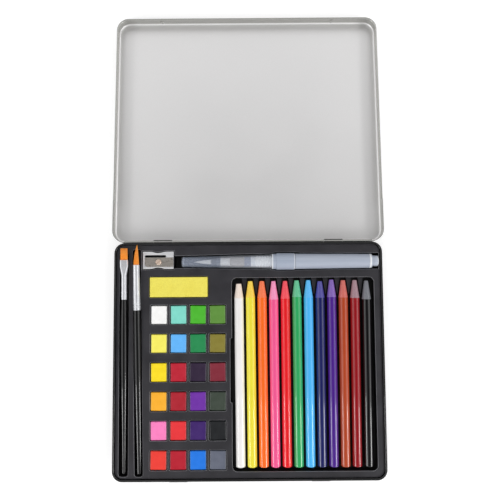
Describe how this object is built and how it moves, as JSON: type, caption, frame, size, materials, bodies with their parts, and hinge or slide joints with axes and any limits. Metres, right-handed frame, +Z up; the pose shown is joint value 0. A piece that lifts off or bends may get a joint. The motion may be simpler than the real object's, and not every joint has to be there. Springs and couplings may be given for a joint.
{
  "type": "watercolour paint box",
  "caption": "Shallow hinged tin, open, holding a formed tray of paint cakes, colour pencils, two brushes, a water brush, a sharpener and a sponge.",
  "frame": {"origin": "centre of the lower tin's underside, on the table", "axes": "+Y towards the hinge and the open lid, +X to the right, +Z up"},
  "size_m": [0.2158, 0.3733, 0.0191],
  "materials": {
    "base_paint": "gloss black",
    "lid_tinplate": "satin",
    "tray_plastic": "matt black",
    "cake_white": "dry pressed paint",
    "cake_mint": "dry pressed paint",
    "cake_leaf_green": "dry pressed paint",
    "cake_olive_green": "dry pressed paint",
    "cake_lemon": "dry pressed paint",
    "cake_sky_blue": "dry pressed paint",
    "cake_deep_green": "dry pressed paint",
    "cake_khaki": "dry pressed paint",
    "cake_yellow": "dry pressed paint",
    "cake_crimson": "dry pressed paint",
    "cake_violet_black": "dry pressed paint",
    "cake_maroon": "dry pressed paint",
    "cake_orange_yellow": "dry pressed paint",
    "cake_dark_red": "dry pressed paint",
    "cake_purple": "dry pressed paint",
    "cake_green_grey": "dry pressed paint",
    "cake_pink": "dry pressed paint",
    "cake_scarlet": "dry pressed paint",
    "cake_deep_violet": "dry pressed paint",
    "cake_black": "dry pressed paint",
    "cake_vermilion": "dry pressed paint",
    "cake_carmine": "dry pressed paint",
    "cake_blue": "dry pressed paint",
    "cake_grey": "dry pressed paint",
    "sponge_foam": "open foam",
    "sharpener_metal": "die cast, tumbled",
    "sharpener_steel": "ground",
    "screw_brass": "turned",
    "handle_lacquer": "gloss black lacquer",
    "ferrule_metal": "bright drawn",
    "orange_hair": "soft hairs",
    "white_hair": "soft hairs",
    "nozzle_plastic": "translucent grey",
    "feed_plastic": "translucent blue-grey",
    "grip_plastic": "translucent white",
    "collar_plastic": "translucent blue",
    "reservoir_plastic": "translucent",
    "plug_plastic": "translucent",
    "cap_plastic": "clear",
    "pencil_white": "gloss lacquer over solid colour core",
    "pencil_yellow": "gloss lacquer over solid colour core",
    "pencil_orange": "gloss lacquer over solid colour core",
    "pencil_pink": "gloss lacquer over solid colour core",
    "pencil_red": "gloss lacquer over solid colour core",
    "pencil_green": "gloss lacquer over solid colour core",
    "pencil_sky_blue": "gloss lacquer over solid colour core",
    "pencil_navy": "gloss lacquer over solid colour core",
    "pencil_purple": "gloss lacquer over solid colour core",
    "pencil_rust": "gloss lacquer over solid colour core",
    "pencil_dark_red": "gloss lacquer over solid colour core",
    "pencil_black": "gloss lacquer over solid colour core"
  },
  "bodies": {
    "base": {"base_tin": "base_paint", "hinge_tongue_left": "base_paint", "hinge_tongue_right": "base_paint"},
    "lid": {"lid_tin": "lid_tinplate"},
    "tray": {"tray": "tray_plastic", "cake_white": "cake_white", "cake_mint": "cake_mint", "cake_leaf_green": "cake_leaf_green", "cake_olive_green": "cake_olive_green", "cake_lemon": "cake_lemon", "cake_sky_blue": "cake_sky_blue", "cake_deep_green": "cake_deep_green", "cake_khaki": "cake_khaki", "cake_yellow": "cake_yellow", "cake_crimson": "cake_crimson", "cake_violet_black": "cake_violet_black", "cake_maroon": "cake_maroon", "cake_orange_yellow": "cake_orange_yellow", "cake_dark_red": "cake_dark_red", "cake_purple": "cake_purple", "cake_green_grey": "cake_green_grey", "cake_pink": "cake_pink", "cake_scarlet": "cake_scarlet", "cake_deep_violet": "cake_deep_violet", "cake_black": "cake_black", "cake_vermilion": "cake_vermilion", "cake_carmine": "cake_carmine", "cake_blue": "cake_blue", "cake_grey": "cake_grey"},
    "sponge": {"sponge": "sponge_foam"},
    "sharpener": {"sharpener_body": "sharpener_metal", "sharpener_blade": "sharpener_steel", "sharpener_screw": "screw_brass"},
    "flat_brush": {"flat_brush_handle": "handle_lacquer", "flat_brush_ferrule": "ferrule_metal", "flat_brush_hair": "orange_hair"},
    "round_brush": {"round_brush_handle": "handle_lacquer", "round_brush_ferrule": "ferrule_metal", "round_brush_hair": "orange_hair"},
    "water_brush": {"water_brush_hair": "white_hair", "water_brush_nozzle": "nozzle_plastic", "water_brush_feed": "feed_plastic", "water_brush_grip": "grip_plastic", "water_brush_collar": "collar_plastic"},
    "water_brush_cap": {"water_brush_cap": "cap_plastic"},
    "reservoir": {"water_brush_reservoir": "reservoir_plastic", "water_brush_plug": "plug_plastic"},
    "pencil_white": {"pencil_white": "pencil_white"},
    "pencil_yellow": {"pencil_yellow": "pencil_yellow"},
    "pencil_orange": {"pencil_orange": "pencil_orange"},
    "pencil_pink": {"pencil_pink": "pencil_pink"},
    "pencil_red": {"pencil_red": "pencil_red"},
    "pencil_green": {"pencil_green": "pencil_green"},
    "pencil_sky_blue": {"pencil_sky_blue": "pencil_sky_blue"},
    "pencil_navy": {"pencil_navy": "pencil_navy"},
    "pencil_purple": {"pencil_purple": "pencil_purple"},
    "pencil_rust": {"pencil_rust": "pencil_rust"},
    "pencil_dark_red": {"pencil_dark_red": "pencil_dark_red"},
    "pencil_black": {"pencil_black": "pencil_black"}
  },
  "joints": [
    {"name": "lid_hinge", "type": "hinge", "parent": "base", "child": "lid", "pos_m": [0, 0.09318, 0.0153], "axis": [-1, 0, 0], "range_deg": [-182.16, 0]},
    {"name": "tray_lift", "type": "slide", "parent": "base", "child": "tray", "axis": [0, 0, 1], "range_m": [0, 0.03]},
    {"name": "lift_sponge", "type": "slide", "parent": "tray", "child": "sponge", "axis": [0, 0, 1], "range_m": [0, 0.03]},
    {"name": "lift_sharpener", "type": "slide", "parent": "tray", "child": "sharpener", "axis": [0, 0, 1], "range_m": [0, 0.03]},
    {"name": "lift_flat_brush", "type": "slide", "parent": "tray", "child": "flat_brush", "axis": [0, 0, 1], "range_m": [0, 0.03]},
    {"name": "lift_round_brush", "type": "slide", "parent": "tray", "child": "round_brush", "axis": [0, 0, 1], "range_m": [0, 0.03]},
    {"name": "lift_water_brush", "type": "slide", "parent": "tray", "child": "water_brush", "axis": [0, 0, 1], "range_m": [0, 0.03]},
    {"name": "lift_pencil_white", "type": "slide", "parent": "tray", "child": "pencil_white", "axis": [0, 0, 1], "range_m": [0, 0.03]},
    {"name": "lift_pencil_yellow", "type": "slide", "parent": "tray", "child": "pencil_yellow", "axis": [0, 0, 1], "range_m": [0, 0.03]},
    {"name": "lift_pencil_orange", "type": "slide", "parent": "tray", "child": "pencil_orange", "axis": [0, 0, 1], "range_m": [0, 0.03]},
    {"name": "lift_pencil_pink", "type": "slide", "parent": "tray", "child": "pencil_pink", "axis": [0, 0, 1], "range_m": [0, 0.03]},
    {"name": "lift_pencil_red", "type": "slide", "parent": "tray", "child": "pencil_red", "axis": [0, 0, 1], "range_m": [0, 0.03]},
    {"name": "lift_pencil_green", "type": "slide", "parent": "tray", "child": "pencil_green", "axis": [0, 0, 1], "range_m": [0, 0.03]},
    {"name": "lift_pencil_sky_blue", "type": "slide", "parent": "tray", "child": "pencil_sky_blue", "axis": [0, 0, 1], "range_m": [0, 0.03]},
    {"name": "lift_pencil_navy", "type": "slide", "parent": "tray", "child": "pencil_navy", "axis": [0, 0, 1], "range_m": [0, 0.03]},
    {"name": "lift_pencil_purple", "type": "slide", "parent": "tray", "child": "pencil_purple", "axis": [0, 0, 1], "range_m": [0, 0.03]},
    {"name": "lift_pencil_rust", "type": "slide", "parent": "tray", "child": "pencil_rust", "axis": [0, 0, 1], "range_m": [0, 0.03]},
    {"name": "lift_pencil_dark_red", "type": "slide", "parent": "tray", "child": "pencil_dark_red", "axis": [0, 0, 1], "range_m": [0, 0.03]},
    {"name": "lift_pencil_black", "type": "slide", "parent": "tray", "child": "pencil_black", "axis": [0, 0, 1], "range_m": [0, 0.03]},
    {"name": "cap_pull", "type": "slide", "parent": "water_brush", "child": "water_brush_cap", "axis": [-1, 0, 0], "range_m": [0, 0.005]},
    {"name": "reservoir_unscrew", "type": "hinge", "parent": "water_brush", "child": "reservoir", "pos_m": [0, 0.0768, 0.0125], "axis": [1, 0, 0], "range_deg": [0, 720]}
  ]
}
